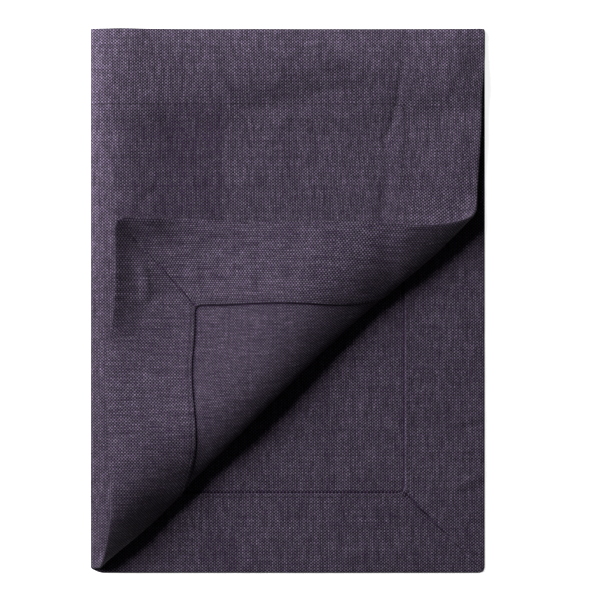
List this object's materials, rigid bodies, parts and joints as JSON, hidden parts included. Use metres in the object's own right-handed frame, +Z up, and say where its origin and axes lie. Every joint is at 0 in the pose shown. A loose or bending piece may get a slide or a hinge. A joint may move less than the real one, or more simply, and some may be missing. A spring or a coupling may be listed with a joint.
{
  "type": "placemat",
  "caption": "Rectangular cloth placemat with wide mitred hems, folded over at its left side, its near right corner turned back in a soft roll.",
  "frame": {"origin": "centre of the folded mat's footprint, on the surface that it lies on", "axes": "+X across the mat from the fold to its open edges, +Y along the fold away from the turned corner's end, +Z up"},
  "size_m": [0.252, 0.348, 0.0373],
  "materials": {
    "plum_linen": "matte plain weave"
  },
  "bodies": {
    "root": {"placemat": "plum_linen"}
  },
  "joints": []
}
